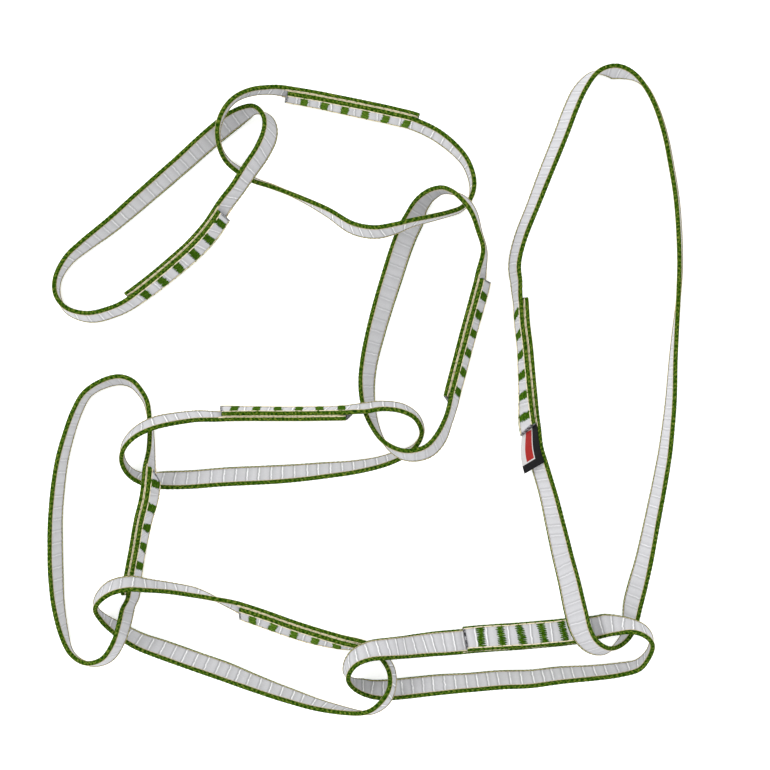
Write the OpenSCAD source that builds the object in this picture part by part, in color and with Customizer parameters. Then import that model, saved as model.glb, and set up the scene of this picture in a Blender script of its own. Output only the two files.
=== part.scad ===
/* [Webbing] */
// Width of the webbing tape
tape_w = 12; // [10:0.5:14]
// Thickness of the tape between its selvedges
tape_t = 1.7; // [1.4:0.1:1.9]
// Thickness of the thicker woven selvedges
selvedge_t = 2; // [1.8:0.1:2.1]
// Width of each selvedge on the face of the tape
selvedge_w = 1.2; // [1:0.1:2.5]
// Distance between the two layers where a sling overlaps itself
layer_pitch = 2.6; // [2.55:0.05:3]

/* [Stitching] */
// Number of bar tacks that close each sling
tack_count = 6; // [3:1:6]
// Length of a bar tack along the tape
tack_l = 3.8; // [2:0.2:5]
// Length of a bar tack across the tape
tack_w = 9.4; // [6:0.2:11]
// How far the thread stands above the tape on each side
tack_proud = 0.15; // [0.05:0.05:0.4]

/* [Label] */
// Width of the sewn-in label across the tape
label_w = 11; // [8:0.5:12]
// Thickness of the folded label, which lies in the gap between two selvedges
label_t = 0.4; // [0.2:0.05:0.45]
// Length of the label that shows past the cut end of the tape
label_l = 20.5; // [15:0.5:24]

/* [Hidden] */

// Each sling stands on one edge of its tape. A route lists points along the
// tape's upper edge, seen from above and counter-clockwise:
// [x, y, lean in degrees with plus towards the inside, height of the lower edge]
tie_in_route = [
    [113.5, 148, -15, 0], [106.5, 145.2, 10, 0], [101, 137.8, 23, 0], [96.5, 128, 25, 0],
    [91.5, 114.8, 25, 0], [85.3, 99.7, 24, 0], [78.8, 83.7, 21, 0], [73.1, 69.4, 20, 0],
    [70.2, 58, 17, 0], [70.8, 49.5, 15, 0],
    [72, 42, 10, 0], [72.8, 30.6, 10, 0], [74.2, 19.2, 11, 0], [75.3, 7.8, 15, 0],
    [76.5, -3.6, 20, 0], [78, -15, 29, 0],
    [80.4, -25.5, 31, 0], [83.6, -36, 31, 0], [87.4, -48.5, 33, 0], [91, -61.5, 39, 0],
    [94.4, -74.5, 44, 0.5], [97.3, -87, 48, 5.5], [99.2, -98, 51, 12.5], [100.9, -106, 48, 14.6],
    [103.8, -111.5, 40, 14.6], [108.9, -114.9, 26, 11.5], [115, -115.4, 6, 4.5],
    [120.2, -112.5, -6, 0.3],
    [123.6, -106.5, -22, 0], [125.8, -99, -31, 0], [128, -90.3, -31, 0], [130.6, -77.7, -25, 0],
    [133.3, -62, -20, 0], [136.2, -46, -17, 0], [138.6, -31, -14, 0], [140, -17, -10, 0],
    [140.9, -3, -6, 0], [141.1, 12, 0, 0], [141.6, 27, 6, 0], [142.3, 43, 13, 0],
    [142.7, 58, 16, 0], [142.2, 73, 17, 0], [141, 88, 17, 0], [138.6, 103, 17, 0],
    [135.6, 117.7, 17, 0], [131, 131.2, 17, 0], [125.6, 140.4, 15, 0], [120, 146, -7, 0]];

loop_1_route = [
    [-7.5, -129.4, 9, 8.5], [-5.4, -135.3, -15, 3], [1, -139.6, -26, 0], [9, -141, -33, 0],
    [20, -140.3, -35, 0], [34, -138.6, -33, 0], [48.1, -137.1, -28, 0], [62.1, -135.9, -28, 0],
    [76.1, -135.1, -25, 0], [90.1, -133.1, -22, 0], [104.1, -131.6, -17, 0], [116.2, -129.9, -14, 0],
    [124.5, -127, -7, 1], [128.2, -120.9, 4, 4], [128.7, -114.5, 9, 9], [125, -110, 16, 12.8],
    [119, -108, 22, 13.2], [112, -110, 46, 10.5],
    [104.6, -113.8, 58, 4], [93, -116.6, 65, 0], [81, -117.8, 65, 0], [69, -118.7, 63, 0],
    [58, -119.2, 60, 0], [46.6, -120.1, 59, 0],
    [33, -121.5, 55, 0.5], [21, -121.5, 48, 4], [11, -120.5, 41, 11], [2.3, -120.5, 34, 13.4],
    [-4.3, -123.2, 23, 13]];

loop_2_route = [
    [-121.1, -97.8, 14, 7.5], [-120.2, -104.2, 0, 2], [-114.5, -110.8, -14, 0], [-105, -117.4, -23, 0],
    [-93, -122.4, -29, 0], [-79, -127.4, -29, 0], [-65, -132.3, -29, 0], [-51, -137, -22, 0],
    [-37, -141.4, -16, 0], [-23, -144.8, -8, 1], [-9.8, -145.6, 3, 5], [0.5, -143.4, 17, 12],
    [6.9, -138.4, 23, 13.6], [10.6, -132.6, 14, 11], [10.4, -126.9, 8, 4.5], [6.5, -121.5, 0, 0],
    [0, -116.3, -12, 0], [-11.4, -113.2, -24, 0], [-22.8, -109.8, -31, 0], [-34.2, -106.1, -33, 0],
    [-45.6, -102, -33, 0], [-57, -98.3, -30, 0],
    [-68, -95.1, -12, 0], [-79, -93.4, 6, 0.5], [-89.5, -91.5, 10, 3], [-98.5, -89.5, 15, 11.5],
    [-106.2, -89.1, 22, 13.6], [-114.4, -91.6, 24, 13]];

loop_3_route = [
    [-113, 6.6, -18, 0], [-121, 4.2, -13, 0], [-128.5, -1.2, -7, 0], [-133.2, -9.2, -7, 0],
    [-137, -19.5, -8, 0], [-140.4, -31.5, -10, 0], [-142.6, -45, -12, 0], [-143.8, -59, -13, 0],
    [-144.1, -73, -15, 0], [-143.6, -87, -14, 0], [-141.9, -99.5, -8, 0], [-138.6, -111.2, 0, 0.5],
    [-133.3, -119.5, 13, 3], [-125.6, -122.5, 15, 7.5], [-117.4, -119.4, 18, 12.5],
    [-112.4, -112.2, 17, 13.6],
    [-110.8, -105, 18, 9.5], [-110.4, -99, 18, 3.5],
    [-109.4, -93.4, 15, 0], [-107.5, -82.2, 12, 0], [-105, -70.6, 11, 2], [-101.9, -58.8, 14, 8.5],
    [-98.4, -47.4, 16, 13.4], [-97.7, -35.8, 13, 10],
    [-98.2, -27, 1, 2.5], [-98.1, -17, -7, 0], [-98.9, -6.5, -14, 0], [-101.6, -0.4, -17, 0],
    [-106.3, 4.8, -19, 0]];

loop_4_route = [
    [25.4, -19.5, 3, 5], [22.6, -13, 8, 10.5], [16.3, -9.6, 14, 12.8], [8, -8.6, 15, 13.2],
    [0.6, -9.8, 17, 13.2],
    [-7, -11.3, 13, 11.5], [-18.8, -11.7, 11, 6], [-30.6, -12, 11, 0.5], [-42.4, -12, 11, 0],
    [-54.2, -12, 12, 0.5], [-66, -12.3, 15, 1.5],
    [-76.5, -13.7, 19, 4], [-86.6, -15.3, 22, 11], [-94.8, -17.4, 24, 13.6], [-102.2, -21, 21, 13.4],
    [-107.8, -26.2, 15, 10], [-110.1, -32.2, 5, 4.5], [-108.3, -38, -6, 1], [-103, -42.2, -18, 0],
    [-94, -44.6, -33, 0], [-80, -44.6, -36, 0], [-65, -43.5, -37, 0], [-50, -42.8, -37, 0],
    [-35, -41.8, -35, 0], [-20, -40, -30, 0], [-6, -37.9, -23, 0], [6, -35.2, -18, 0],
    [15.5, -31.5, -14, 0], [22.4, -26.2, -1, 0]];

loop_5_route = [
    [34.3, 91.7, -10, 5], [28.5, 91, -22, 1.5], [23, 87.3, -34, 0], [18.5, 81.2, -49, 0],
    [14.5, 73.8, -53, 0], [11, 64.5, -53, 0], [7.5, 53.3, -52, 0], [3.8, 40.5, -48, 0],
    [0.6, 27.5, -43, 0], [-1.9, 14.5, -37, 0], [-2.8, 3, -33, 0], [-1.4, -7.5, -27, 0],
    [3, -17, -13, 2.5], [9, -23.5, 3, 9.5], [17.5, -26.6, 22, 13.2], [25.6, -25.3, 29, 13.3],
    [31, -20.6, 28, 11.5], [35.4, -13, 20, 6.5],
    [36.9, -4.6, 21, 1], [39.8, 6.9, 22, 0], [42.8, 18.4, 22, 0], [45.8, 29.9, 23, 0],
    [48.8, 40.9, 24, 0], [51.6, 51.9, 22, 1],
    [53.2, 63.2, 10, 4], [50.3, 71.8, 10, 10], [47.2, 79, 15, 13.4], [43.2, 84.4, 16, 13.6],
    [38.8, 89, 5, 10.5]];

loop_6_route = [
    [48.4, 88.5, 0, 0], [49.5, 96, -4, 0], [46.6, 105, -7, 0], [40.5, 112.5, -11, 0],
    [32.6, 118.8, -13, 0],
    [24, 124, -12, 0], [12, 127.2, -12, 0], [0, 129.8, -12, 0], [-12, 132.2, -11, 0],
    [-24, 134.4, -9, 0.5], [-36, 136, -7, 2],
    [-44.7, 136.8, -1, 4.5], [-52.2, 134.8, 2, 8], [-58.6, 130.2, 6, 12.5], [-63.4, 124, 5, 13.5],
    [-65.8, 116.8, 5, 12.2], [-65.9, 110.4, 2, 7], [-63.9, 104.6, -7, 1.5], [-59.6, 100.2, -13, 0],
    [-52.5, 95.6, -11, 0], [-42, 92.2, -8, 0], [-29, 87.4, -2, 0], [-16.7, 82.2, 9, 1],
    [-6, 75.9, 16, 3.5], [4, 73.4, 18, 8.5], [13, 74.4, 14, 10.8], [20.8, 76.2, 6, 10.4],
    [29.8, 78.4, 2, 6.5], [38, 80.9, 0, 1.5], [44, 83.4, 0, 0]];

loop_7_route = [
    [-54, 129.4, -17, 1], [-62, 126.8, -30, 0], [-72, 119.5, -33, 0], [-87, 105.6, -29, 0],
    [-103.3, 91, -26, 0], [-117.9, 77.6, -20, 0], [-130, 67.4, -13, 0], [-137, 60.2, -6, 0],
    [-141.2, 51.5, 2, 0], [-141, 43.5, 6, 0], [-136, 37.6, 13, 0], [-127, 35.4, 17, 0],
    [-117, 37.6, 16, 0],
    [-108.8, 42.8, 16, 0], [-99.3, 50, 19, 0], [-90, 57.8, 21, 0], [-81, 65.8, 23, 0.5],
    [-72.8, 74.2, 24, 3], [-65.7, 82.6, 22, 9],
    [-59.5, 91.4, 21, 12.9], [-54.2, 100, 24, 13.2], [-49.2, 108, 26, 12],
    [-46.2, 116.4, 27, 8.5], [-46.1, 123, 18, 5], [-49.3, 128.2, -2, 2.5]];

// Where each sling is closed: first and last route point of the overlap, the
// side of the loop on which the tape's starting layer lies (1 = inside), and the
// route places of the first and last bar tack
tie_in_join = [10, 15, 1, 10.6, 14.7];
loop_1_join = [18, 23, 1, 18.28, 22.42];
loop_2_join = [16, 21, -1, 16.25, 20.4];
loop_3_join = [18, 23, 1, 18.4, 22.45];
loop_4_join = [5, 10, 1, 5.3, 9.5];
loop_5_join = [18, 23, 1, 18.45, 22.3];
loop_6_join = [5, 10, -1, 5.4, 9.3];
loop_7_join = [13, 18, 1, 13.6, 17.55];

// Moves the whole chain so that its box is centred over the origin
centre = [-1, -0.4, 0];
// Rings per route step, and the route steps over which two layers part
rings = 3;
fade = 1.2;

webbing_white = [0.86, 0.86, 0.88];
selvedge_green = [0.26, 0.40, 0.08];
thread_green = [0.32, 0.48, 0.14];
label_white = [0.93, 0.92, 0.90];

// Eased step from 0 to 1
function ease(x) = let (u = min(max(x, 0), 1)) u * u * (3 - 2 * u);

// Smooth closed curve through the route's points
function along(r, t) =
    let (
        n = len(r),
        i = floor(t),
        f = t - i,
        a = r[(i + n - 1) % n],
        b = r[i % n],
        c = r[(i + 1) % n],
        d = r[(i + 2) % n]
    )
    0.5 * (2 * b + (c - a) * f + (2 * a - 5 * b + 4 * c - d) * f * f
        + (3 * b - a - 3 * c + d) * f * f * f);

// Level direction of the tape at t
function heading(r, t) =
    let (
        v = along(r, t + 0.02) - along(r, t - 0.02),
        l = norm([v[0], v[1]])
    )
    [v[0] / l, v[1] / l, 0];

// 1 where two layers lie together, 0 where the tape is single
function doubled(r, j, t) =
    1 - ease(min(t - j[1], len(r) + j[0] - t) / fade);

// Distance of the tape's layer from the sling's middle line, plus to the inside
function layer(r, j, t) =
    let (
        first = t <= j[1] ? 1 : 1 - ease((t - j[1]) / fade),
        last = ease((t - len(r) - j[0] + fade) / fade)
    )
    j[2] * layer_pitch / 2 * (first - last);

// Frame at t: middle of the section, then the directions through the tape,
// across the tape and along it
function frame(r, j, t) =
    let (
        q = along(r, t),
        h = heading(r, t),
        s = sin(q[2]),
        c = cos(q[2]),
        through = [-h[1] * c, h[0] * c, -s],
        across = [-h[1] * s, h[0] * s, c],
        side = selvedge_t / 2 + layer_pitch / 2 * doubled(r, j, t),
        top = max(q[3], 0) + tape_w * c + side * abs(s)
    )
    [[q[0], q[1], top] - across * tape_w / 2 + centre, through, across, h];

// The four corners of a section: x0 to x1 through the tape, y0 to y1 across it
function corners(f, x0, x1, y0, y1) = [
    f[0] + f[1] * x0 + f[2] * y0,
    f[0] + f[1] * x1 + f[2] * y0,
    f[0] + f[1] * x1 + f[2] * y1,
    f[0] + f[1] * x0 + f[2] * y1];

// Solid strip swept along the route from t0 to t1
module strip(r, j, t0, t1, count, shift, thick, y0, y1) {
    points = [
        for (i = [0 : count])
            let (
                t = t0 + (t1 - t0) * i / count,
                x = layer(r, j, t) + shift
            )
            each corners(frame(r, j, t), x - thick / 2, x + thick / 2, y0, y1)
    ];
    walls = [
        for (i = [0 : count - 1], k = [0 : 3])
            let (
                a = 4 * i + k,
                b = 4 * i + (k + 1) % 4
            )
            each [[a, b + 4, b], [a, a + 4, b + 4]]
    ];
    m = 4 * count;
    ends = [[0, 1, 2], [0, 2, 3], [m, m + 2, m + 1], [m, m + 3, m + 2]];
    polyhedron(points = points, faces = concat(walls, ends));
}

// The white body of the tape, from its start once round to its end
module webbing(r, j) {
    color(webbing_white)
        strip(r, j, j[0], len(r) + j[1], rings * (len(r) + j[1] - j[0]), 0, tape_t,
            -tape_w / 2, tape_w / 2);
}

// The two thicker woven edges of the tape
module selvedges(r, j) {
    color(selvedge_green)
        for (y = [-tape_w / 2, tape_w / 2 - selvedge_w])
            strip(r, j, j[0], len(r) + j[1], rings * (len(r) + j[1] - j[0]), 0,
                selvedge_t, y, y + selvedge_w);
}

// The blocks of thread sewn through both layers of the overlap
module bar_tacks(r, j) {
    deep = layer_pitch + tape_t + 2 * tack_proud;
    step = (j[4] - j[3]) / (tack_count - 1);
    color(thread_green)
        for (i = [0 : tack_count - 1]) {
            f = frame(r, j, j[3] + step * i);
            multmatrix([
                [f[3][0], f[1][0], f[2][0], f[0][0]],
                [f[3][1], f[1][1], f[2][1], f[0][1]],
                [f[3][2], f[1][2], f[2][2], f[0][2]],
                [0, 0, 0, 1]])
                cube([tack_l, deep, tack_w], center = true);
        }
}

// The label, caught between the layers and lying on the tape past the cut end
module label(r, j) {
    past = label_l / 12;
    color(label_white)
        strip(r, j, j[1] - 0.7, j[1] + past, 14, -layer_pitch / 2, label_t,
            -label_w / 2, label_w / 2);
}

module tie_in_webbing() {
    webbing(tie_in_route, tie_in_join);
}

module tie_in_selvedges() {
    selvedges(tie_in_route, tie_in_join);
}

module tie_in_bar_tacks() {
    bar_tacks(tie_in_route, tie_in_join);
}

module tie_in_label() {
    label(tie_in_route, tie_in_join);
}

module loop_1_webbing() {
    webbing(loop_1_route, loop_1_join);
}

module loop_1_selvedges() {
    selvedges(loop_1_route, loop_1_join);
}

module loop_1_bar_tacks() {
    bar_tacks(loop_1_route, loop_1_join);
}

module loop_2_webbing() {
    webbing(loop_2_route, loop_2_join);
}

module loop_2_selvedges() {
    selvedges(loop_2_route, loop_2_join);
}

module loop_2_bar_tacks() {
    bar_tacks(loop_2_route, loop_2_join);
}

module loop_3_webbing() {
    webbing(loop_3_route, loop_3_join);
}

module loop_3_selvedges() {
    selvedges(loop_3_route, loop_3_join);
}

module loop_3_bar_tacks() {
    bar_tacks(loop_3_route, loop_3_join);
}

module loop_4_webbing() {
    webbing(loop_4_route, loop_4_join);
}

module loop_4_selvedges() {
    selvedges(loop_4_route, loop_4_join);
}

module loop_4_bar_tacks() {
    bar_tacks(loop_4_route, loop_4_join);
}

module loop_5_webbing() {
    webbing(loop_5_route, loop_5_join);
}

module loop_5_selvedges() {
    selvedges(loop_5_route, loop_5_join);
}

module loop_5_bar_tacks() {
    bar_tacks(loop_5_route, loop_5_join);
}

module loop_6_webbing() {
    webbing(loop_6_route, loop_6_join);
}

module loop_6_selvedges() {
    selvedges(loop_6_route, loop_6_join);
}

module loop_6_bar_tacks() {
    bar_tacks(loop_6_route, loop_6_join);
}

module loop_7_webbing() {
    webbing(loop_7_route, loop_7_join);
}

module loop_7_selvedges() {
    selvedges(loop_7_route, loop_7_join);
}

module loop_7_bar_tacks() {
    bar_tacks(loop_7_route, loop_7_join);
}

tie_in_webbing();
tie_in_selvedges();
tie_in_bar_tacks();
tie_in_label();
loop_1_webbing();
loop_1_selvedges();
loop_1_bar_tacks();
loop_2_webbing();
loop_2_selvedges();
loop_2_bar_tacks();
loop_3_webbing();
loop_3_selvedges();
loop_3_bar_tacks();
loop_4_webbing();
loop_4_selvedges();
loop_4_bar_tacks();
loop_5_webbing();
loop_5_selvedges();
loop_5_bar_tacks();
loop_6_webbing();
loop_6_selvedges();
loop_6_bar_tacks();
loop_7_webbing();
loop_7_selvedges();
loop_7_bar_tacks();
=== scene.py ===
"""A chain of eight linked, sewn webbing slings that stand on edge on a pale table, seen from above."""
import math

import bpy
import numpy as np
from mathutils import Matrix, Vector


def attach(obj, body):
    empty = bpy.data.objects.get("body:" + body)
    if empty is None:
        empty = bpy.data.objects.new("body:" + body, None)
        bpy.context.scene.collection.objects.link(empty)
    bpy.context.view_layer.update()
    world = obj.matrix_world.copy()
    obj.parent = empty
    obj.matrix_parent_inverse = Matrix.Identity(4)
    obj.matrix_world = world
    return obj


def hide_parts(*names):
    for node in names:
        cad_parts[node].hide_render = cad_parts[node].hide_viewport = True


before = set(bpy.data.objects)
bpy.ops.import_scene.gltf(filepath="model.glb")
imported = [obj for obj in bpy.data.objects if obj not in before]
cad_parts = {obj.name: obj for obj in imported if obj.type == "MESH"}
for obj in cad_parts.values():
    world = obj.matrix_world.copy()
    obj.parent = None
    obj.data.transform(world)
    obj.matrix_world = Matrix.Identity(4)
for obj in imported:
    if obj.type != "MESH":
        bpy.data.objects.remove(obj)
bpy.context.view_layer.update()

MM = 0.001

# ---------------------------------------------------------------- sizes, in metres
TAPE_W = 12 * MM
LAYER_PITCH = 2.6 * MM
SELVEDGE_T = 2 * MM
# Each sling draws its random numbers from a seed of its own
FIRST_SEED = 100
# Shift that centres the chain's box over the origin
CENTRE = np.array([-1, -0.4, 0]) * MM
# Route steps over which two sewn layers part, and over which the overlap's stitches begin
FADE = 1.2
STITCH_FADE = 0.4
# Points of the tape's path to a route step, and how far ahead on the route its direction is taken
PATH_POINTS = 60
LOOK_AHEAD = 0.02

# The white body, its cross ribs and the faint rib between two of them
BODY_HALF_T = 0.74 * MM
BODY_HALF_W = 5.25 * MM
PUFF = 0.08 * MM
RIB_HEIGHT = 0.16 * MM
RIB_HALF_W = 0.27 * MM
RIB_STRENGTH = (0.6, 0.95)
MINOR_STRENGTH = 0.16
MINOR_PLACE = 0.55
MINOR_HALF_W = 0.5 * MM
# How unevenly a rib runs across the tape, how far it is shifted as a whole, how much its painted
# highlight varies across the tape, and how much the distances between ribs vary
RIB_WAVER = 0.09 * MM
RIB_SHIFT = 0.1 * MM
RIB_PATCHES = 0.16
RIB_UNEVEN = 0.05
# Painted shade on each side of a rib, where the tape has no groove: its distance, half width, and depth
# after and before the rib
PAINTED_SHADE_PLACE = 0.65 * MM
PAINTED_SHADE_HALF_W = 0.36 * MM
PAINTED_SHADE_AFTER = 0.16
PAINTED_SHADE_BEFORE = 0.55
# Painted shade where a cell between two ribs starts, the painted light that it gains along the
# cell, and the painted highlight that a rib adds
CELL_SHADE = 0.46
CELL_PAINTED_LIGHT_GAIN = 0.16
RIB_PAINTED_HIGHLIGHT = 0.7
# Sets the back's weave coordinates off, so that it doesn't repeat the front's pattern
BACK_OFFSET = 40 * MM
# Places of the mesh's rings in a cell between two ribs
IN_CELL = np.array([0, 0.25, 0.5, 0.8, 1.2, 1.9, 3.2, 5, 6.8, 7.8, 8.4, 8.8, 9.2, 9.5, 9.75]) / 10

# The plaited edges
EDGE_HALF_T = 0.94 * MM
EDGE_HALF_H = 0.72 * MM
EDGE_STEP = 0.34 * MM
EDGE_SQUARE = 0.75
BRAID_PITCH = 2.3 * MM
# How the plait's pitch drifts, how much finer the second strand's pitch is, how far a strand stands
# out, and how far the edge reaches into the body once a cell
BRAID_DRIFT = 0.05
SECOND_STRAND = 1.13
STRAND_SWELL = 0.13
INWARD_SWELL = 0.22

# The pale threads: distances from the tape's edge of the binding thread and of the stitches
# between two layers
THREAD_DEPTH = 1.2 * MM
BETWEEN_DEPTH = 0.46 * MM
THREAD_R = 0.15 * MM
STITCH_R = 0.25 * MM
BETWEEN_R = 0.19 * MM
THREAD_STEP = 0.42 * MM
# From one binding to the next along the single tape, and from stitch to stitch in the overlap
BINDING_PITCH = 1.9 * MM
STITCH_PITCH = 4.2 * MM
# How far the thread wanders and over what length, and the length over which its pitch varies
WANDER = 0.08 * MM
WANDER_LENGTH = 3.1 * MM
UNEVEN_LENGTH = 9 * MM

# The bar tacks: length along the tape, length across it, and stitches in a tack's face
TACK_COUNT = 6
TACK_L = 4.1 * MM
TACK_W = 9.4 * MM
STITCHES = 23
TACK_THREAD_R = 0.26 * MM
# How far the two ends of a tack's stitch lie above and below its middle
ZIGZAG = 0.16 * MM
# How a stitch strays along the tape and across it, and its least and most length as a share
STITCH_STRAY = (0.07 * MM, 0.05 * MM)
STITCH_LENGTHS = (0.84, 1.18)
# How far a stitch's middle stands out of the tape, and how far its ends dip from there
STITCH_LIFT = 0.14 * MM
STITCH_DIP = 0.2 * MM

# The seared bead at a cut end: places along the tape in millimetres, and the bead's size there
BEAD = np.array([[-0.15, 0.55], [-0.12, 0.85], [0.05, 1.0], [0.3, 1.02], [0.5, 1.0], [0.62, 0.97]])
BEAD_POINTS = 40

# The label: how much of it shows, and the route steps of it that are caught in the seam
LABEL_HALF_W = 5.6 * MM
LABEL_T = 0.38 * MM
LABEL_SHOWN = 20 * MM
LABEL_CAUGHT = 0.7
LABEL_SLANT = 0.27
# How strongly the free end curls, how much of the curl goes outwards and upwards, and the sag
LABEL_CURL = 0.42
CURL_OUT = 0.95
CURL_UP = 0.1
LABEL_SAG = 0.5 * MM
# The printed areas: red from and to, and where the black border starts
RED_ALONG = (3 * MM, 15.8 * MM)
RED_ACROSS = (-2.7 * MM, 1.6 * MM)
BLACK_ALONG = 16.4 * MM
BLACK_ACROSS = 2.1 * MM
# Mesh lines across the label and along its part that shows, among them the printed areas' edges
LINES_ACROSS = np.array([-5.6, -5.0, -4.2, -3.4, -2.7, -1.6, -0.2, 1.0, 1.6, 2.1, 3.4, 4.6, 5.6]) * MM
LINES_SHOWN = np.array([2.2, 3.0, 4, 6, 8, 10, 12, 14, 15.8, 16.4, 17.6, 19, 20]) * MM

# Distance from a cut end over which its slant fades, and the steepest slant of a rib
CUT_REACH = 14 * MM
MOST_SLANT = 0.3

# Floor and light. The floor lies a little below the slings, so that no face meets it exactly
FLOOR_SIZE = 6
FLOOR_DROP = 0.1 * MM
FLOOR_GLOW = 0.5
SKY = 1.0
KEY_POWER = 8
KEY_SIZE = 0.9
KEY_PLACE = (-1.0, 0.35, 1.2)

CAMERA_HEIGHT = 600 * MM
CAMERA_OVER = (7.87 * MM, 1.94 * MM)
CAMERA_LENS = 60.48
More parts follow.
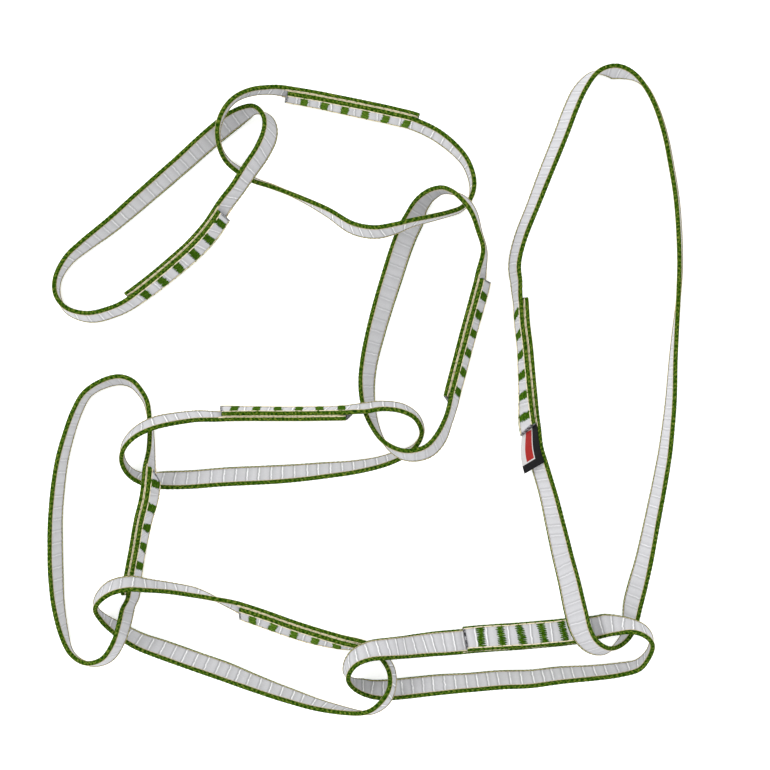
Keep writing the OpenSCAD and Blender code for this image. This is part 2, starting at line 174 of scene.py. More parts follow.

# ---------------------------------------------------------------- how each sling lies
# A route's points follow the tape's upper edge, counter-clockwise from above:
# [x, y, lean in degrees with plus towards the inside, height of the lower edge].
# join is the first and last route point of the sewn overlap, the side on which the
# tape starts (1 = inside), and the route places of the first and last bar tack.
# cuts is how far the lower corner of each cut end lies behind the upper one.
# ribs is how strongly the cross ribs show, in their height and in their painted highlight and
# shade, and cell is the usual distance between them.
SLINGS = {
    "tie_in": {
        "join": (10, 15, 1, 10.6, 14.7),
        "cuts": (0, -0.005),
        "ribs": 0.4,
        "cell": 0.0046,
        "tack_slant": -0.3,
        "route": [
            [0.1135, 0.148, -15, 0], [0.1065, 0.1452, 10, 0], [0.101, 0.1378, 23, 0],
            [0.0965, 0.128, 25, 0], [0.0915, 0.1148, 25, 0], [0.0853, 0.0997, 24, 0],
            [0.0788, 0.0837, 21, 0], [0.0731, 0.0694, 20, 0], [0.0702, 0.058, 17, 0],
            [0.0708, 0.0495, 15, 0], [0.072, 0.042, 10, 0], [0.0728, 0.0306, 10, 0],
            [0.0742, 0.0192, 11, 0], [0.0753, 0.0078, 15, 0], [0.0765, -0.0036, 20, 0],
            [0.078, -0.015, 29, 0], [0.0804, -0.0255, 31, 0], [0.0836, -0.036, 31, 0],
            [0.0874, -0.0485, 33, 0], [0.091, -0.0615, 39, 0], [0.0944, -0.0745, 44, 0.0005],
            [0.0973, -0.087, 48, 0.0055], [0.0992, -0.098, 51, 0.0125], [0.1009, -0.106, 48, 0.0146],
            [0.1038, -0.1115, 40, 0.0146], [0.1089, -0.1149, 26, 0.0115], [0.115, -0.1154, 6, 0.0045],
            [0.1202, -0.1125, -6, 0.0003], [0.1236, -0.1065, -22, 0], [0.1258, -0.099, -31, 0],
            [0.128, -0.0903, -31, 0], [0.1306, -0.0777, -25, 0], [0.1333, -0.062, -20, 0],
            [0.1362, -0.046, -17, 0], [0.1386, -0.031, -14, 0], [0.14, -0.017, -10, 0],
            [0.1409, -0.003, -6, 0], [0.1411, 0.012, 0, 0], [0.1416, 0.027, 6, 0],
            [0.1423, 0.043, 13, 0], [0.1427, 0.058, 16, 0], [0.1422, 0.073, 17, 0],
            [0.141, 0.088, 17, 0], [0.1386, 0.103, 17, 0], [0.1356, 0.1177, 17, 0],
            [0.131, 0.1312, 17, 0], [0.1256, 0.1404, 15, 0], [0.12, 0.146, -7, 0]],
    },
    "loop_1": {
        "join": (18, 23, 1, 18.28, 22.42),
        "cuts": (0.0006, -0.0008),
        "ribs": 1.0,
        "cell": 0.0049,
        "tack_slant": -0.07,
        "route": [
            [-0.0075, -0.1294, 9, 0.0085], [-0.0054, -0.1353, -15, 0.003], [0.001, -0.1396, -26, 0],
            [0.009, -0.141, -33, 0], [0.02, -0.1403, -35, 0], [0.034, -0.1386, -33, 0],
            [0.0481, -0.1371, -28, 0], [0.0621, -0.1359, -28, 0], [0.0761, -0.1351, -25, 0],
            [0.0901, -0.1331, -22, 0], [0.1041, -0.1316, -17, 0], [0.1162, -0.1299, -14, 0],
            [0.1245, -0.127, -7, 0.001], [0.1282, -0.1209, 4, 0.004], [0.1287, -0.1145, 9, 0.009],
            [0.125, -0.11, 16, 0.0128], [0.119, -0.108, 22, 0.0132], [0.112, -0.11, 46, 0.0105],
            [0.1046, -0.1138, 58, 0.004], [0.093, -0.1166, 65, 0], [0.081, -0.1178, 65, 0],
            [0.069, -0.1187, 63, 0], [0.058, -0.1192, 60, 0], [0.0466, -0.1201, 59, 0],
            [0.033, -0.1215, 55, 0.0005], [0.021, -0.1215, 48, 0.004], [0.011, -0.1205, 41, 0.011],
            [0.0023, -0.1205, 34, 0.0134], [-0.0043, -0.1232, 23, 0.013]],
    },
    "loop_2": {
        "join": (16, 21, -1, 16.25, 20.4),
        "cuts": (0, 0.001),
        "ribs": 0.95,
        "cell": 0.0053,
        "tack_slant": 0,
        "route": [
            [-0.1211, -0.0978, 14, 0.0075], [-0.1202, -0.1042, 0, 0.002], [-0.1145, -0.1108, -14, 0],
            [-0.105, -0.1174, -23, 0], [-0.093, -0.1224, -29, 0], [-0.079, -0.1274, -29, 0],
            [-0.065, -0.1323, -29, 0], [-0.051, -0.137, -22, 0], [-0.037, -0.1414, -16, 0],
            [-0.023, -0.1448, -8, 0.001], [-0.0098, -0.1456, 3, 0.005], [0.0005, -0.1434, 17, 0.012],
            [0.0069, -0.1384, 23, 0.0136], [0.0106, -0.1326, 14, 0.011], [0.0104, -0.1269, 8, 0.0045],
            [0.0065, -0.1215, 0, 0], [0, -0.1163, -12, 0], [-0.0114, -0.1132, -24, 0],
            [-0.0228, -0.1098, -31, 0], [-0.0342, -0.1061, -33, 0], [-0.0456, -0.102, -33, 0],
            [-0.057, -0.0983, -30, 0], [-0.068, -0.0951, -12, 0], [-0.079, -0.0934, 6, 0.0005],
            [-0.0895, -0.0915, 10, 0.003], [-0.0985, -0.0895, 15, 0.0115], [-0.1062, -0.0891, 22, 0.0136],
            [-0.1144, -0.0916, 24, 0.013]],
    },
    "loop_3": {
        "join": (18, 23, 1, 18.4, 22.45),
        "cuts": (0, 0.005),
        "ribs": 0.35,
        "cell": 0.0055,
        "tack_slant": 0.27,
        "route": [
            [-0.113, 0.0066, -18, 0], [-0.121, 0.0042, -13, 0], [-0.1285, -0.0012, -7, 0],
            [-0.1332, -0.0092, -7, 0], [-0.137, -0.0195, -8, 0], [-0.1404, -0.0315, -10, 0],
            [-0.1426, -0.045, -12, 0], [-0.1438, -0.059, -13, 0], [-0.1441, -0.073, -15, 0],
            [-0.1436, -0.087, -14, 0], [-0.1419, -0.0995, -8, 0], [-0.1386, -0.1112, 0, 0.0005],
            [-0.1333, -0.1195, 13, 0.003], [-0.1256, -0.1225, 15, 0.0075], [-0.1174, -0.1194, 18, 0.0125],
            [-0.1124, -0.1122, 17, 0.0136], [-0.1108, -0.105, 18, 0.0095], [-0.1104, -0.099, 18, 0.0035],
            [-0.1094, -0.0934, 15, 0], [-0.1075, -0.0822, 12, 0], [-0.105, -0.0706, 11, 0.002],
            [-0.1019, -0.0588, 14, 0.0085], [-0.0984, -0.0474, 16, 0.0134], [-0.0977, -0.0358, 13, 0.01],
            [-0.0982, -0.027, 1, 0.0025], [-0.0981, -0.017, -7, 0], [-0.0989, -0.0065, -14, 0],
            [-0.1016, -0.0004, -17, 0], [-0.1063, 0.0048, -19, 0]],
    },
    "loop_4": {
        "join": (5, 10, 1, 5.3, 9.5),
        "cuts": (0, 0),
        "ribs": 1.0,
        "cell": 0.0055,
        "tack_slant": -0.02,
        "route": [
            [0.0254, -0.0195, 3, 0.005], [0.0226, -0.013, 8, 0.0105], [0.0163, -0.0096, 14, 0.0128],
            [0.008, -0.0086, 15, 0.0132], [0.0006, -0.0098, 17, 0.0132], [-0.007, -0.0113, 13, 0.0115],
            [-0.0188, -0.0117, 11, 0.006], [-0.0306, -0.012, 11, 0.0005], [-0.0424, -0.012, 11, 0],
            [-0.0542, -0.012, 12, 0.0005], [-0.066, -0.0123, 15, 0.0015], [-0.0765, -0.0137, 19, 0.004],
            [-0.0866, -0.0153, 22, 0.011], [-0.0948, -0.0174, 24, 0.0136], [-0.1022, -0.021, 21, 0.0134],
            [-0.1078, -0.0262, 15, 0.01], [-0.1101, -0.0322, 5, 0.0045], [-0.1083, -0.038, -6, 0.001],
            [-0.103, -0.0422, -18, 0], [-0.094, -0.0446, -33, 0], [-0.08, -0.0446, -36, 0],
            [-0.065, -0.0435, -37, 0], [-0.05, -0.0428, -37, 0], [-0.035, -0.0418, -35, 0],
            [-0.02, -0.04, -30, 0], [-0.006, -0.0379, -23, 0], [0.006, -0.0352, -18, 0],
            [0.0155, -0.0315, -14, 0], [0.0224, -0.0262, -1, 0]],
    },
    "loop_5": {
        "join": (18, 23, 1, 18.45, 22.3),
        "cuts": (0, 0.002),
        "ribs": 0.35,
        "cell": 0.0052,
        "tack_slant": 0.12,
        "route": [
            [0.0343, 0.0917, -10, 0.005], [0.0285, 0.091, -22, 0.0015], [0.023, 0.0873, -34, 0],
            [0.0185, 0.0812, -49, 0], [0.0145, 0.0738, -53, 0], [0.011, 0.0645, -53, 0],
            [0.0075, 0.0533, -52, 0], [0.0038, 0.0405, -48, 0], [0.0006, 0.0275, -43, 0],
            [-0.0019, 0.0145, -37, 0], [-0.0028, 0.003, -33, 0], [-0.0014, -0.0075, -27, 0],
            [0.003, -0.017, -13, 0.0025], [0.009, -0.0235, 3, 0.0095], [0.0175, -0.0266, 22, 0.0132],
            [0.0256, -0.0253, 29, 0.0133], [0.031, -0.0206, 28, 0.0115], [0.0354, -0.013, 20, 0.0065],
            [0.0369, -0.0046, 21, 0.001], [0.0398, 0.0069, 22, 0], [0.0428, 0.0184, 22, 0],
            [0.0458, 0.0299, 23, 0], [0.0488, 0.0409, 24, 0], [0.0516, 0.0519, 22, 0.001],
            [0.0532, 0.0632, 10, 0.004], [0.0503, 0.0718, 10, 0.01], [0.0472, 0.079, 15, 0.0134],
            [0.0432, 0.0844, 16, 0.0136], [0.0388, 0.089, 5, 0.0105]],
    },
    "loop_6": {
        "join": (5, 10, -1, 5.4, 9.3),
        "cuts": (0, 0),
        "ribs": 0.85,
        "cell": 0.0053,
        "tack_slant": -0.1,
        "route": [
            [0.0484, 0.0885, 0, 0], [0.0495, 0.096, -4, 0], [0.0466, 0.105, -7, 0],
            [0.0405, 0.1125, -11, 0], [0.0326, 0.1188, -13, 0], [0.024, 0.124, -12, 0],
            [0.012, 0.1272, -12, 0], [0, 0.1298, -12, 0], [-0.012, 0.1322, -11, 0],
            [-0.024, 0.1344, -9, 0.0005], [-0.036, 0.136, -7, 0.002], [-0.0447, 0.1368, -1, 0.0045],
            [-0.0522, 0.1348, 2, 0.008], [-0.0586, 0.1302, 6, 0.0125], [-0.0634, 0.124, 5, 0.0135],
            [-0.0658, 0.1168, 5, 0.0122], [-0.0659, 0.1104, 2, 0.007], [-0.0639, 0.1046, -7, 0.0015],
            [-0.0596, 0.1002, -13, 0], [-0.0525, 0.0956, -11, 0], [-0.042, 0.0922, -8, 0],
            [-0.029, 0.0874, -2, 0], [-0.0167, 0.0822, 9, 0.001], [-0.006, 0.0759, 16, 0.0035],
            [0.004, 0.0734, 18, 0.0085], [0.013, 0.0744, 14, 0.0108], [0.0208, 0.0762, 6, 0.0104],
            [0.0298, 0.0784, 2, 0.0065], [0.038, 0.0809, 0, 0.0015], [0.044, 0.0834, 0, 0]],
    },
    "loop_7": {
        "join": (13, 18, 1, 13.6, 17.55),
        "cuts": (0, 0.0038),
        "ribs": 0.6,
        "cell": 0.0052,
        "tack_slant": 0,
        "route": [
            [-0.054, 0.1294, -17, 0.001], [-0.062, 0.1268, -30, 0], [-0.072, 0.1195, -33, 0],
            [-0.087, 0.1056, -29, 0], [-0.1033, 0.091, -26, 0], [-0.1179, 0.0776, -20, 0],
            [-0.13, 0.0674, -13, 0], [-0.137, 0.0602, -6, 0], [-0.1412, 0.0515, 2, 0],
            [-0.141, 0.0435, 6, 0], [-0.136, 0.0376, 13, 0], [-0.127, 0.0354, 17, 0],
            [-0.117, 0.0376, 16, 0], [-0.1088, 0.0428, 16, 0], [-0.0993, 0.05, 19, 0],
            [-0.09, 0.0578, 21, 0], [-0.081, 0.0658, 23, 0.0005], [-0.0728, 0.0742, 24, 0.003],
            [-0.0657, 0.0826, 22, 0.009], [-0.0595, 0.0914, 21, 0.0129], [-0.0542, 0.1, 24, 0.0132],
            [-0.0492, 0.108, 26, 0.012], [-0.0462, 0.1164, 27, 0.0085], [-0.0461, 0.123, 18, 0.005],
            [-0.0493, 0.1282, -2, 0.0025]],
    },
}


# ---------------------------------------------------------------- the tape's path
def ease(x):
    """Eased step from 0 to 1."""
    x = np.clip(x, 0, 1)
    return x * x * (3 - 2 * x)


def along(route, t):
    """Smooth closed curve through the route's points."""
    n = len(route)
    i = np.floor(t).astype(int)
    f = (t - i)[:, None]
    a, b, c, d = (route[(i + k) % n] for k in (-1, 0, 1, 2))
    curve = 2 * b + (c - a) * f + (2 * a - 5 * b + 4 * c - d) * f**2 + (3 * b - a - 3 * c + d) * f**3
    return curve / 2


def frames(route, join, t):
    """Middle of the sling at t, and the directions through the tape, across it and along it."""
    q = along(route, t)
    ahead = (along(route, t + LOOK_AHEAD) - along(route, t - LOOK_AHEAD))[:, :2]
    ahead /= np.linalg.norm(ahead, axis=1)[:, None]
    lean = np.radians(q[:, 2])
    s, c = np.sin(lean), np.cos(lean)
    through = np.stack([-ahead[:, 1] * c, ahead[:, 0] * c, -s], 1)
    across = np.stack([-ahead[:, 1] * s, ahead[:, 0] * s, c], 1)
    doubled = 1 - ease(np.minimum(t - join[1], len(route) + join[0] - t) / FADE)
    side = SELVEDGE_T / 2 + LAYER_PITCH / 2 * doubled
    top = np.maximum(q[:, 3], 0) + TAPE_W * c + side * np.abs(s)
    middle = np.stack([q[:, 0], q[:, 1], top], 1) - across * TAPE_W / 2 + CENTRE
    return middle, through, across, np.stack([ahead[:, 0], ahead[:, 1], 0 * s], 1)


def layer(route, join, t):
    """Distance of the tape from the sling's middle line, plus to the inside."""
    first = np.where(t <= join[1], 1.0, 1 - ease((t - join[1]) / FADE))
    last = ease((t - len(route) - join[0] + FADE) / FADE)
    return join[2] * LAYER_PITCH / 2 * (first - last)


def climb_slant(line):
    """How far the ribs slant, so that they stay square to the tape where it climbs."""
    rise = np.gradient(line[:, 2])
    run = np.linalg.norm(np.gradient(line[:, :2], axis=0), axis=1)
    return -np.clip(rise / np.hypot(rise, run), -MOST_SLANT, MOST_SLANT)


class Tape:
    """One sling's tape: a point on it is s along, x through (plus inside) and y across (plus up)."""

    def __init__(self, name, spec):
        self.name = name
        self.route = np.array(spec["route"], float)
        self.join = spec["join"]
        self.cuts = spec["cuts"]
        self.ribs = spec["ribs"]
        self.tack_slant = spec["tack_slant"]
        first, last = self.join[0], len(self.route) + self.join[1]
        self.t = np.linspace(first, last, (last - first) * PATH_POINTS + 1)
        middle, self.through, self.across, self.ahead = frames(self.route, self.join, self.t)
        self.line = middle + self.through * layer(self.route, self.join, self.t)[:, None]
        steps = np.linalg.norm(np.diff(self.line, axis=0), axis=1)
        self.s = np.concatenate([[0], np.cumsum(steps)])
        self.length = self.s[-1]
        self.slant = climb_slant(self.line)
        self.cell = spec["cell"]

    def s_at(self, t):
        """Length along the tape at a route position."""
        return float(np.interp(t, self.t, self.s))

    def overlap(self, s):
        """1 in the first sewn layer, -1 in the last one and 0 where the tape is single."""
        t = np.interp(s, self.s, self.t)
        first = 1 - ease((t - self.join[1]) / STITCH_FADE)
        last = ease((t - len(self.route) - self.join[0]) / STITCH_FADE)
        return first - last

    def points(self, s, x, y):
        """Points in space, for arrays s, x and y of the same shape."""
        # Near a slanted cut end, and where the tape climbs, a point moves along it with its height
        start = self.cuts[0] * ease(1 - s / CUT_REACH)
        end = self.cuts[1] * ease(1 - (self.length - s) / CUT_REACH)
        slant = np.interp(s, self.s, self.slant)
        s = s + (start + end) * (y / TAPE_W - 0.5) + slant * y
        inside = np.clip(s, 0, self.length)
        mix = lambda v: np.stack([np.interp(inside, self.s, v[:, k]) for k in range(3)], -1)
        over = (s - inside)[..., None]
        place = mix(self.line) + mix(self.ahead) * over
        return place + mix(self.through) * x[..., None] + mix(self.across) * y[..., None]


# ---------------------------------------------------------------- mesh helpers
class Mesh:
    """Collects vertices and faces, with a shade value and weave coordinates for each vertex."""

    def __init__(self):
        self.co = []
        self.faces = []
        self.shade = []
        self.uv = []
        self.count = 0

    def rings(self, points, shade, uv, closed=True, capped=True):
        """A surface through rings of points, shaped (rings, points in a ring, 3)."""
        n, m = points.shape[:2]
        base = self.count
        self.co.append(points.reshape(-1, 3))
        self.shade.append(np.broadcast_to(shade, (n, m)).reshape(-1))
        self.uv.append(np.broadcast_to(uv, (n, m, 2)).reshape(-1, 2))
        self.count += n * m
        i = np.arange(n - 1)[:, None] * m + base
        k = np.arange(m if closed else m - 1)[None, :]
        after = (k + 1) % m
        quads = np.stack([i + k, i + after, i + m + after, i + m + k], -1).reshape(-1, 4)
        self.faces += quads.tolist()
        if capped:
            self.faces.append(list(range(base + m - 1, base - 1, -1)))
            self.faces.append(list(range(base + (n - 1) * m, base + n * m)))

    def build(self, name, materials):
        """The collected surfaces as one object."""
        mesh = bpy.data.meshes.new(name)
        co = np.concatenate(self.co)
        mesh.from_pydata(co.tolist(), [], self.faces)
        for material in materials:
            mesh.materials.append(material)
        mesh.polygons.foreach_set("use_smooth", np.ones(len(self.faces), bool))
        shade = mesh.attributes.new("shade", "FLOAT", "POINT")
        shade.data.foreach_set("value", np.concatenate(self.shade).astype(np.float32))
        loops = np.zeros(len(mesh.loops), np.int32)
        mesh.loops.foreach_get("vertex_index", loops)
        layer_uv = mesh.uv_layers.new(name="weave")
        layer_uv.data.foreach_set("uv", np.concatenate(self.uv)[loops].astype(np.float32).ravel())
        mesh.validate()
        mesh.update()
        obj = bpy.data.objects.new(name, mesh)
        bpy.context.scene.collection.objects.link(obj)
        return obj


def uv_of(s, y):
    """Weave coordinates in millimetres: along the tape and across it."""
    return np.stack(np.broadcast_arrays(s / MM, y / MM), -1)


# ---------------------------------------------------------------- materials
# Periods in millimetres, as the weave coordinates are
WEFT_PITCH = 0.62
WARP_PITCH = 0.5
SATIN_PITCH = 0.35


def srgb(r, g, b):
    """A display colour, 0 to 255, as the linear colour that a shader takes."""
    lin = lambda c: c / 12.92 if c <= 0.04045 else ((c + 0.055) / 1.055) ** 2.4
    return tuple(lin(v / 255) for v in (r, g, b)) + (1,)


class Look:
    """A node material being put together."""

    def __init__(self, name, roughness, sheen=0.0, specular=0.25):
        self.material = bpy.data.materials.new(name)
        self.material.use_nodes = True
        self.nodes = self.material.node_tree.nodes
        self.links = self.material.node_tree.links
        self.shader = self.nodes["Principled BSDF"]
        self.shader.inputs["Roughness"].default_value = roughness
        self.shader.inputs["Sheen Weight"].default_value = sheen
        self.shader.inputs["Sheen Roughness"].default_value = 0.5
        self.shader.inputs["Specular IOR Level"].default_value = specular

    def node(self, kind, **values):
        made = self.nodes.new(kind)
        for key, value in values.items():
            setattr(made, key, value)
        return made

    def math(self, operation, a, b=None):
        made = self.node("ShaderNodeMath", operation=operation)
        for socket, value in zip(made.inputs, (a, b)):
            if value is None:
                continue
            if isinstance(value, (int, float)):
                socket.default_value = value
            else:
                self.links.new(value, socket)
        return made.outputs[0]

    def weave(self):
        """Weave coordinates: along and across the tape, in millimetres."""
        return self.node("ShaderNodeUVMap", uv_map="weave").outputs["UV"]

    def apart(self, uv):
        """The two weave coordinates, one by one."""
        split = self.node("ShaderNodeSeparateXYZ")
        self.links.new(uv, split.inputs[0])
        return split.outputs["X"], split.outputs["Y"]

    def shade(self):
        """The painted shade and highlight that the mesh carries: 0 in a hollow and 1 on a crest."""
        return self.node("ShaderNodeAttribute", attribute_name="shade").outputs["Fac"]

    def wave(self, axis, period):
        """Rounded ridges at that period, from 0 to 1."""
        turned = self.math("MULTIPLY", axis, math.pi / period)
        return self.math("ABSOLUTE", self.math("SINE", turned))

    def total(self, *terms):
        """The sum of (value, weight) terms."""
        parts = [self.math("MULTIPLY", value, weight) for value, weight in terms]
        result = parts[0]
        for part in parts[1:]:
            result = self.math("ADD", result, part)
        return result

    def noise(self, vector, scale, detail=2.0):
        made = self.node("ShaderNodeTexNoise")
        made.inputs["Scale"].default_value = scale
        made.inputs["Detail"].default_value = detail
        if vector is not None:
            self.links.new(vector, made.inputs["Vector"])
        return made.outputs["Fac"]

    def ramp(self, value, stops):
        """A colour ramp through (place, colour) stops."""
        made = self.node("ShaderNodeValToRGB")
        ramp = made.color_ramp
        while len(ramp.elements) < len(stops):
            ramp.elements.new(0.5)
        for element, (place, colour) in zip(ramp.elements, stops):
            element.position = place
            element.color = colour
        self.links.new(value, made.inputs["Fac"])
        return made.outputs["Color"]

    def bump(self, height, distance, strength=1.0):
        made = self.node("ShaderNodeBump")
        made.inputs["Distance"].default_value = distance
        made.inputs["Strength"].default_value = strength
        self.links.new(height, made.inputs["Height"])
        self.links.new(made.outputs["Normal"], self.shader.inputs["Normal"])

    def colour(self, socket):
        self.links.new(socket, self.shader.inputs["Base Color"])


def white_weave():
    """Dense white weave: fine threads both ways, greyer in the painted shade of the hollows between its
    ribs, with a painted highlight on each rib.
    """
    look = Look("white_weave", roughness=0.85, sheen=0.1, specular=0.12)
    uv = look.weave()
    s, y = look.apart(uv)
    threads = look.math("MULTIPLY", look.wave(s, WEFT_PITCH), look.wave(y, WARP_PITCH))
    cloud = look.noise(uv, 0.35)
    grain = look.noise(uv, 1.4, 3.0)
    # The shade value brings the painted shade and highlight; threads, cloud and grain are the weave's own
    # tone
    tone = look.total((look.shade(), 0.72), (threads, 0.1), (cloud, 0.08), (grain, 0.14))
    look.colour(look.ramp(tone, [
        (0.05, srgb(144, 144, 148)), (0.3, srgb(178, 178, 181)), (0.6, srgb(203, 203, 206)),
        (0.9, srgb(255, 255, 255))]))
    look.bump(threads, 0.12 * MM, 0.6)
    return look.material


def braided_green(name, dark, mid, light):
    """Plaited green yarn: painted shade where the strands cross under, with fine fibres along them."""
    look = Look(name, roughness=0.9, specular=0.05)
    uv = look.weave()
    blotches = look.noise(uv, 0.8, 2.0)
    fibres = look.noise(uv, 3.0, 4.0)
    tone = look.total((look.shade(), 0.27), (fibres, 0.22), (blotches, 0.8))
    look.colour(look.ramp(tone, [(0.46, dark), (0.68, mid), (0.92, light)]))
    look.bump(fibres, 0.15 * MM, 0.5)
    return look.material


def plain_yarn(name, low, high):
    """Spun yarn of one colour that varies a little along its length, with painted shade from the mesh where
    the thread thins.
    """
    look = Look(name, roughness=0.9, specular=0.1)
    uv = look.weave()
    cloud = look.noise(uv, 1.2, 3.0)
    tone = look.total((look.shade(), 0.7), (cloud, 0.3))
    look.colour(look.ramp(tone, [(0.15, low), (0.9, high)]))
    look.bump(tone, 0.1 * MM, 0.5)
    return look.material


def seared_end():
    """Melted, darkened tape where a hot blade cut it."""
    look = Look("seared_end", roughness=0.45)
    uv = look.weave()
    blobs = look.noise(uv, 1.1, 3.0)
    look.colour(look.ramp(blobs, [
        (0.44, srgb(30, 30, 34)), (0.54, srgb(110, 110, 114)), (0.68, srgb(190, 190, 194))]))
    look.bump(blobs, 0.2 * MM, 0.8)
    return look.material


def printed_satin(name, low, high):
    """Printed satin label: a very fine rib and a soft shine."""
    look = Look(name, roughness=0.55, sheen=0.02, specular=0.1)
    uv = look.weave()
    rib = look.wave(look.apart(uv)[0], SATIN_PITCH)
    cloud = look.noise(uv, 0.5)
    tone = look.total((rib, 0.4), (cloud, 0.6))
    look.colour(look.ramp(tone, [(0.2, low), (0.8, high)]))
    look.bump(rib, 0.05 * MM, 0.4)
    return look.material


LOOKS = {
    "weave": white_weave(),
    "selvedge": braided_green("selvedge_braid", srgb(20, 53, 0), srgb(46, 81, 0), srgb(116, 129, 50)),
    "tack": braided_green("tack_thread", srgb(42, 78, 2), srgb(73, 109, 19), srgb(110, 140, 54)),
    "edge": plain_yarn("edge_thread", srgb(168, 148, 92), srgb(250, 238, 206)),
    "seared": seared_end(),
    "label_white": printed_satin("label_white", srgb(188, 186, 186), srgb(206, 204, 204)),
    "label_red": printed_satin("label_red", srgb(146, 32, 29), srgb(164, 42, 38)),
    "label_black": printed_satin("label_black", srgb(10, 10, 12), srgb(26, 26, 28)),
}


# ---------------------------------------------------------------- pieces of a sling
def rib_places(tape, rng):
    """Where the cross ribs lie along the tape, at uneven distances."""
    count = round(tape.length / tape.cell)
    steps = 1 + rng.normal(0, RIB_UNEVEN, count)
    return np.concatenate([[0], np.cumsum(steps)]) * tape.length / steps.sum()


def hump(distance, half_w):
    """A smooth bell of height 1."""
    return np.exp(-((distance / half_w) ** 2))


def tape_body(tape, rng):
    """The white body: cells between thin cross ribs that waver across the tape."""
    ribs = rib_places(tape, rng)
    cells = len(ribs) - 1
    u = np.append(np.tile(IN_CELL, cells), 1.0)
    cell = np.append(np.repeat(np.arange(cells), len(IN_CELL)), cells - 1)
    nearer = np.where(u < 0.5, cell, cell + 1)
    size = np.diff(ribs)[cell]
    near = np.minimum(u, 1 - u) * size
    y = np.linspace(-BODY_HALF_W, BODY_HALF_W, 11)
    waver = rng.normal(0, RIB_WAVER, (cells + 1, len(y))) + rng.normal(0, RIB_SHIFT, (cells + 1, 1))
    waver[[0, -1]] = 0
    strength = rng.uniform(*RIB_STRENGTH, cells + 1) * tape.ribs
    minor = rng.uniform(0, MINOR_STRENGTH, cells) * tape.ribs
    patchy = np.clip(1 + rng.normal(0, RIB_PATCHES, (cells + 1, len(y))), 0.5, 1.3)[nearer]
    rib = hump(near, RIB_HALF_W) * strength[nearer]
    rib = rib + hump((u - MINOR_PLACE) * size, MINOR_HALF_W) * minor[cell]
    puff = np.sin(math.pi * u) ** 0.6
    flat = 1 - np.abs(y / BODY_HALF_W) ** 6
    half = BODY_HALF_T + (puff[:, None] * PUFF + rib[:, None] * RIB_HEIGHT) * flat[None, :]
    # Painted shade: a dark line beside each rib, deeper just before the rib than just after it
    painted_shade = hump(near - PAINTED_SHADE_PLACE, PAINTED_SHADE_HALF_W) * np.where(u < 0.5, PAINTED_SHADE_AFTER, PAINTED_SHADE_BEFORE)
    # Painted light: each cell starts darker after its rib and brightens towards the next one
    shade = CELL_SHADE + CELL_PAINTED_LIGHT_GAIN * u - painted_shade * (0.4 + 0.6 * tape.ribs)
    # Painted highlight on each rib's crest, uneven across the tape
    shade = np.clip(shade[:, None] + RIB_PAINTED_HIGHLIGHT * rib[:, None] * flat[None, :] * patchy, 0, 1)
    s = (ribs[cell] + u * size)[:, None] + waver[cell] * (1 - u[:, None]) + waver[cell + 1] * u[:, None]
    y = np.broadcast_to(y, s.shape)
    front = tape.points(s, half, y)
    back = tape.points(s, -half, y)[:, ::-1]
    uv = np.concatenate([uv_of(s, y), uv_of(s, y + BACK_OFFSET)[:, ::-1]], 1)
    mesh = Mesh()
    mesh.rings(np.concatenate([front, back], 1), np.concatenate([shade, shade[:, ::-1]], 1), uv)
    return mesh.build(f"{tape.name}_tape", [LOOKS["weave"]])


def squared(wave, power):
    """A sine or cosine pushed out, so that a round section turns squarer."""
    return np.sign(wave) * np.abs(wave) ** power


def selvedges(tape, rng):
    """The two thick plaited edges, which reach a little further into the body once a cell."""
    mesh = Mesh()
    count = int(tape.length / EDGE_STEP)
    s = np.linspace(0, tape.length, count)[:, None]
    angle = np.linspace(0, 2 * math.pi, 12, endpoint=False)[None, :]
    for side in (-1, 1):
        drift = np.cumsum(rng.normal(0, BRAID_DRIFT, (count, 1)), axis=0)
        turn = s / BRAID_PITCH + drift + rng.uniform()
        one = np.abs(np.sin(math.pi * turn + angle))
        two = np.abs(np.sin(math.pi * turn * SECOND_STRAND - angle + 0.6))
        plait = np.maximum(one, two) ** 2
        swell = 1 + STRAND_SWELL * (plait - 0.6)
        inner = np.sin(angle) < -0.3
        reach = 1 + INWARD_SWELL * np.abs(np.sin(math.pi * s / tape.cell + drift)) * inner
        x = EDGE_HALF_T * squared(np.cos(angle), EDGE_SQUARE) * swell
        y = EDGE_HALF_H * squared(np.sin(angle), EDGE_SQUARE) * swell * reach
        y = side * (TAPE_W / 2 - EDGE_HALF_H + y)
        # Painted shade where the plait's strands cross under, lighter on their crests
        shade = np.clip(0.15 + 0.95 * (plait - 0.35) / 0.65, 0, 1)
        uv = uv_of(s, angle * 1.2 * MM + (side + 1) * 10 * MM)
        mesh.rings(tape.points(np.broadcast_to(s, x.shape), x * side, y), shade, uv)
    return mesh.build(f"{tape.name}_selvedge_braids", [LOOKS["selvedge"]])


def binding_thread(mesh, tape, s, side, face, depth, stitch_r, rng):
    """One pale thread along an edge: fine on the single tape, long stitches in the sewn overlap."""
    s = s[:, None]
    angle = np.linspace(0, 2 * math.pi, 5, endpoint=False)[None, :]
    sewn = np.abs(tape.overlap(s))
    wobble = 0.5 * np.sin(s / UNEVEN_LENGTH + rng.uniform(0, 6))
    fine = np.abs(np.sin(math.pi * s / BINDING_PITCH + wobble * 3))
    stitch = np.clip(3.2 * np.abs(np.sin(math.pi * s / STITCH_PITCH + wobble)), 0, 1)
    radius = THREAD_R * (0.6 + 0.5 * fine) * (1 - sewn) + stitch_r * (0.25 + 0.75 * stitch) * sewn
    wander = WANDER * np.sin(s / WANDER_LENGTH + rng.uniform(0, 6))
    x = face * (EDGE_HALF_T + 0.05 * MM) + radius * np.cos(angle)
    y = side * (TAPE_W / 2 - depth + wander) + radius * np.sin(angle)
    s = np.broadcast_to(s, x.shape)
    # Painted shade where the thread thins between bindings and between stitches
    shade = np.clip(0.1 + 0.45 * fine * (1 - sewn) + 0.85 * stitch * sewn, 0, 1)
    mesh.rings(tape.points(s, x, y), shade, uv_of(s, angle * MM + (side * 2 + face) * 9 * MM))


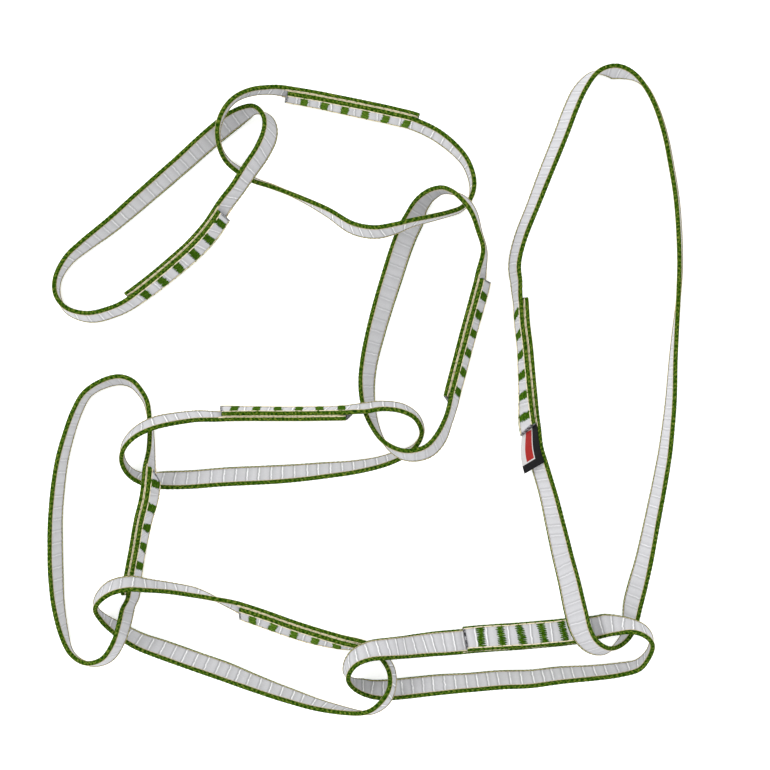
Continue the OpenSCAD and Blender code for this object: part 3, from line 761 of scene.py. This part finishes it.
def edge_threads(tape, rng):
    """Pale threads that bind each selvedge to the body, and stitches between the two layers."""
    mesh = Mesh()
    s = np.linspace(0.3 * MM, tape.length - 0.3 * MM, int(tape.length / THREAD_STEP))
    for side in (-1, 1):
        for face in (-1, 1):
            binding_thread(mesh, tape, s, side, face, THREAD_DEPTH, STITCH_R, rng)
            # The part of this face that looks at the other layer
            between = s[-face * tape.join[2] * tape.overlap(s) > 0.6]
            binding_thread(mesh, tape, between, side, face, BETWEEN_DEPTH, BETWEEN_R, rng)
    return mesh.build(f"{tape.name}_edge_threads", [LOOKS["edge"]])


def bar_tacks(tape, rng):
    """Six dense zigzag blocks. Each stitch is a thread that runs along the tape, on both faces."""
    mesh = Mesh()
    first, last = tape.join[3:]
    w = np.linspace(-0.5, 0.5, 7)[:, None]
    angle = np.linspace(0, 2 * math.pi, 6, endpoint=False)[None, :]
    for k in range(TACK_COUNT):
        t = np.array([first + (last - first) * k / (TACK_COUNT - 1)])
        middle, through, across, ahead = (v[0] for v in frames(tape.route, tape.join, t))
        across = across + ahead * tape.tack_slant
        for face in (-1, 1):
            drift = np.cumsum(rng.normal(0, STITCH_STRAY[0], STITCHES))
            drift -= drift.mean()
            for i in range(STITCHES):
                y = (i / (STITCHES - 1) - 0.5) * TACK_W + rng.normal(0, STITCH_STRAY[1])
                long = TACK_L * rng.uniform(*STITCH_LENGTHS)
                slant = ZIGZAG if i % 2 else -ZIGZAG
                radius = TACK_THREAD_R * (1 - 0.6 * np.abs(2 * w) ** 8)
                lift = LAYER_PITCH / 2 + BODY_HALF_T + STITCH_LIFT - STITCH_DIP * np.abs(2 * w) ** 6
                run = drift[i] + w * long
                up = y + slant * 2 * w + radius * np.sin(angle)
                out = face * (lift + radius * 0.8 * np.cos(angle))
                run = run + 0 * angle
                points = middle + ahead * run[..., None] + across * up[..., None] + through * out[..., None]
                # Painted light: each stitch lighter on its side away from the tape and darker where it lies
                # against it; the random part is each stitch's own tone
                shade = np.clip(0.45 + 0.35 * np.cos(angle) * face + rng.uniform(-0.25, 0.25), 0, 1)
                # Weave coordinates differ from tack to tack, so that their patterns do too
                uv = uv_of(run + (k * 7 + face) * MM, up)
                mesh.rings(points, np.broadcast_to(shade, run.shape), uv)
    return mesh.build(f"{tape.name}_tack_stitches", [LOOKS["tack"]])


def cut_ends(tape, rng):
    """The seared bead across each cut end of the tape."""
    mesh = Mesh()
    angle = np.linspace(0, 2 * math.pi, BEAD_POINTS, endpoint=False)[None, :]
    for end in (0, 1):
        place = BEAD[:, :1] * MM if end == 0 else tape.length - BEAD[::-1, :1] * MM
        size = BEAD[:, 1:] if end == 0 else BEAD[::-1, 1:]
        lumps = 1 + 0.06 * np.sin(angle * 5 + rng.uniform(0, 6)) + rng.normal(0, 0.02, (1, BEAD_POINTS))
        x = (EDGE_HALF_T + 0.1 * MM) * size * squared(np.cos(angle), 0.5) * lumps
        y = (TAPE_W / 2 - 0.12 * MM) * (1 - (1 - size) * 0.2) * squared(np.sin(angle), 0.35)
        s = place + 0.12 * MM * np.sin(angle * 3 + rng.uniform(0, 6))
        mesh.rings(tape.points(s, x, y), 0.5, uv_of(s, y))
    return mesh.build(f"{tape.name}_cut_ends", [LOOKS["seared"]])


def label(tape):
    """The sewn-in label: white, a plain red panel and a black border. Its free end curls off."""
    start = tape.s_at(tape.join[1] - LABEL_CAUGHT)
    mouth = tape.s_at(tape.join[1])
    lines_along = np.concatenate([np.linspace(start, mouth + 1.2 * MM, 8), mouth + LINES_SHOWN])
    s, y = np.meshgrid(lines_along, LINES_ACROSS, indexing="ij")
    free = ease((s - mouth) / LABEL_SHOWN)
    s = s - LABEL_SLANT * y
    curl = LABEL_CURL * free * (LABEL_HALF_W - y)
    sag = LABEL_SAG * np.sin(math.pi * np.clip((s - mouth) / LABEL_SHOWN, 0, 1))
    # The caught end lies halfway between the two sewn layers
    seat = tape.join[2] * LAYER_PITCH / 2
    x0 = -seat - curl * CURL_OUT - sag * (0.5 - y / (2 * LABEL_HALF_W))
    y0 = y + CURL_UP * curl
    mesh = Mesh()
    rows, columns = s.shape
    # Two faces. The first one's rings are turned round, so that both face outwards
    for side in (1, -1):
        points = tape.points(s, x0 - side * LABEL_T / 2, y0)
        mesh.rings(points[:, ::-side], 0.5, uv_of(s, y)[:, ::-side], closed=False, capped=False)
    # Once round the border, a strip joins the two faces
    rim = [(i, 0) for i in range(rows)] + [(rows - 1, j) for j in range(1, columns)]
    rim += [(i, columns - 1) for i in range(rows - 2, -1, -1)] + [(0, j) for j in range(columns - 2, 0, -1)]
    i, j = map(np.array, zip(*(rim + rim[:1])))
    outer = tape.points(s, x0 - LABEL_T / 2, y0)[i, j]
    inner = tape.points(s, x0 + LABEL_T / 2, y0)[i, j]
    mesh.rings(np.stack([outer, inner]), 0.5, uv_of(s[i, j], y[i, j])[None], closed=False, capped=False)
    obj = mesh.build("tie_in_label_print", [LOOKS["label_white"], LOOKS["label_red"], LOOKS["label_black"]])
    paint_label(obj, s + LABEL_SLANT * y - mouth, y)
    return obj


def paint_label(obj, s, y):
    """Gives each face of the label its printed colour. The rim is black."""
    white, red, black = 0, 1, 2
    rows, columns = s.shape
    per_side = (rows - 1) * (columns - 1)
    slots = np.full(len(obj.data.polygons), black, np.int32)
    s = (s[:-1, :-1] + s[1:, 1:]) / 2
    y = (y[:-1, :-1] + y[1:, 1:]) / 2
    printed = np.full(s.shape, white, np.int32)
    in_red = (s > RED_ALONG[0]) & (s < RED_ALONG[1]) & (y > RED_ACROSS[0]) & (y < RED_ACROSS[1])
    printed[in_red] = red
    printed[(y > BLACK_ACROSS) | (s > BLACK_ALONG)] = black
    # The mesh holds the faces of one side, then those of the other, then the rim
    slots[:per_side] = printed[:, ::-1].ravel()
    slots[per_side:2 * per_side] = printed.ravel()
    obj.data.polygons.foreach_set("material_index", slots)


# ---------------------------------------------------------------- put the chain together
def declare(piece, body, slot, *nodes):
    """A piece rides on its sling, and may stand for some of its CAD solids."""
    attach(piece, body)
    if nodes:
        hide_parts(*nodes)


def build_sling(index, name, spec):
    tape = Tape(name, spec)
    rng = np.random.default_rng(FIRST_SEED + index)
    body = tape_body(tape, rng)
    edges = selvedges(tape, rng)
    threads = edge_threads(tape, rng)
    tacks = bar_tacks(tape, rng)
    ends = cut_ends(tape, rng)
    declare(body, name, "webbing", f"{name}_webbing")
    declare(edges, name, "selvedge", f"{name}_selvedges")
    declare(threads, name, "selvedge")
    declare(tacks, name, "thread", f"{name}_bar_tacks")
    declare(ends, name, "webbing")
    if name == "tie_in":
        tag = label(tape)
        declare(tag, name, "label", "tie_in_label")


for index, (name, spec) in enumerate(SLINGS.items()):
    build_sling(index, name, spec)


# ---------------------------------------------------------------- floor, light and camera
def floor():
    look = Look("pale_floor", roughness=0.9, specular=0.0)
    look.shader.inputs["Emission Color"].default_value = (1, 1, 1, 1)
    look.shader.inputs["Emission Strength"].default_value = FLOOR_GLOW
    cloud = look.noise(None, 3.0)
    look.colour(look.ramp(cloud, [(0.3, srgb(250, 250, 250)), (0.7, srgb(253, 253, 253))]))
    bpy.ops.mesh.primitive_plane_add(size=FLOOR_SIZE, location=(0, 0, -FLOOR_DROP))
    plane = bpy.context.object
    plane.name = "floor"
    plane.data.materials.append(look.material)


def area_light(name, place, target, size, power):
    light = bpy.data.lights.new(name, "AREA")
    light.shape = "DISK"
    light.size = size
    light.energy = power
    obj = bpy.data.objects.new(name, light)
    obj.location = place
    obj.rotation_euler = (Vector(target) - Vector(place)).to_track_quat("-Z", "Y").to_euler()
    bpy.context.scene.collection.objects.link(obj)


def light_and_camera():
    scene = bpy.context.scene
    world = bpy.data.worlds.new("studio")
    world.use_nodes = True
    world.node_tree.nodes["Background"].inputs["Color"].default_value = (1, 1, 1, 1)
    world.node_tree.nodes["Background"].inputs["Strength"].default_value = SKY
    scene.world = world
    area_light("key", KEY_PLACE, (0, 0, 0), KEY_SIZE, KEY_POWER)
    camera = bpy.data.cameras.new("camera")
    camera.lens = CAMERA_LENS
    camera.sensor_width = 36
    camera.clip_start = 0.01
    obj = bpy.data.objects.new("camera", camera)
    obj.location = (*CAMERA_OVER, CAMERA_HEIGHT)
    scene.collection.objects.link(obj)
    scene.camera = obj
    scene.view_settings.view_transform = "Standard"


floor()
light_and_camera()
